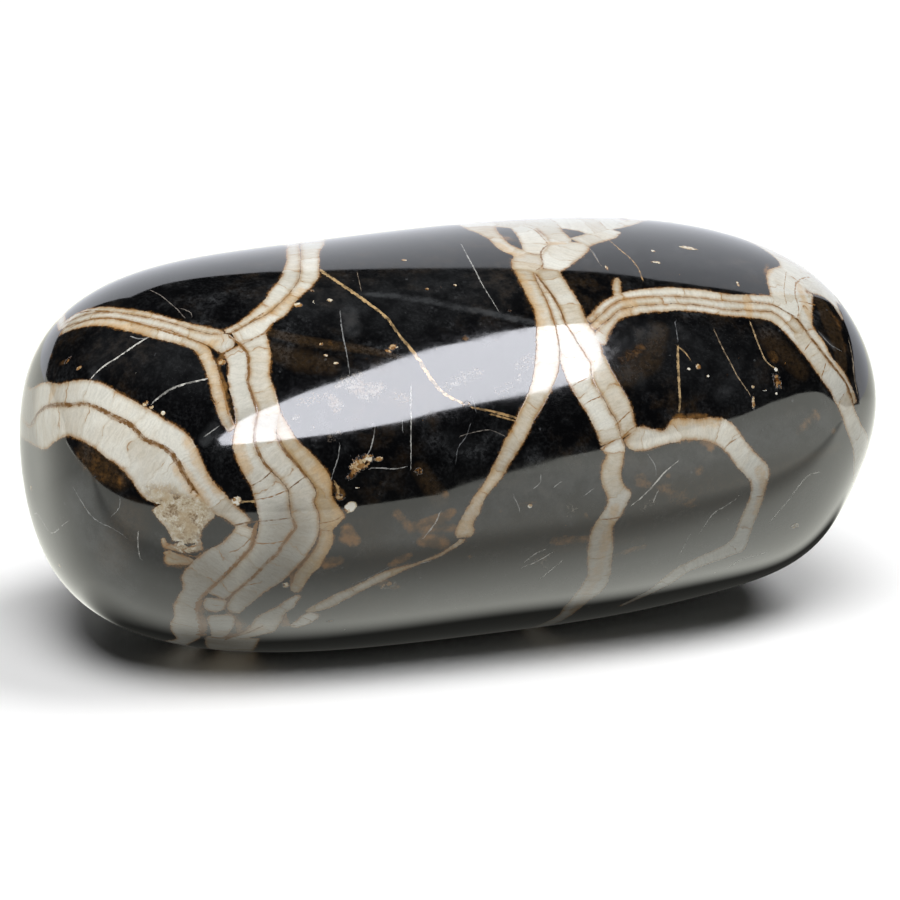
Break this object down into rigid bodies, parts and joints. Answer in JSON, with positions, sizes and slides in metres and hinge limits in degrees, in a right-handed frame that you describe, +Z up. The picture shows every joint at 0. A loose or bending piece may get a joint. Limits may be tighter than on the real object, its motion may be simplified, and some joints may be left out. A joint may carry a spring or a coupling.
{
  "type": "tumbled zebra jasper",
  "caption": "a tumbled, polished oblong stone of black jasper crossed by a network of cream, tan and rust veins, loose on a small worn flat",
  "frame": {"origin": "under the middle of the stone's bounding box, in the plane that it rests on", "axes": "+X along the length, towards the deeper end; +Y across the depth, away from the face with the long highlight; +Z up from the resting flat"},
  "size_m": [0.0486, 0.0272, 0.0228],
  "materials": {
    "stone": "tumble-polished black jasper with cream, tan, brown and rust veins"
  },
  "bodies": {
    "root": {"tumbled_stone": "stone"}
  },
  "joints": []
}
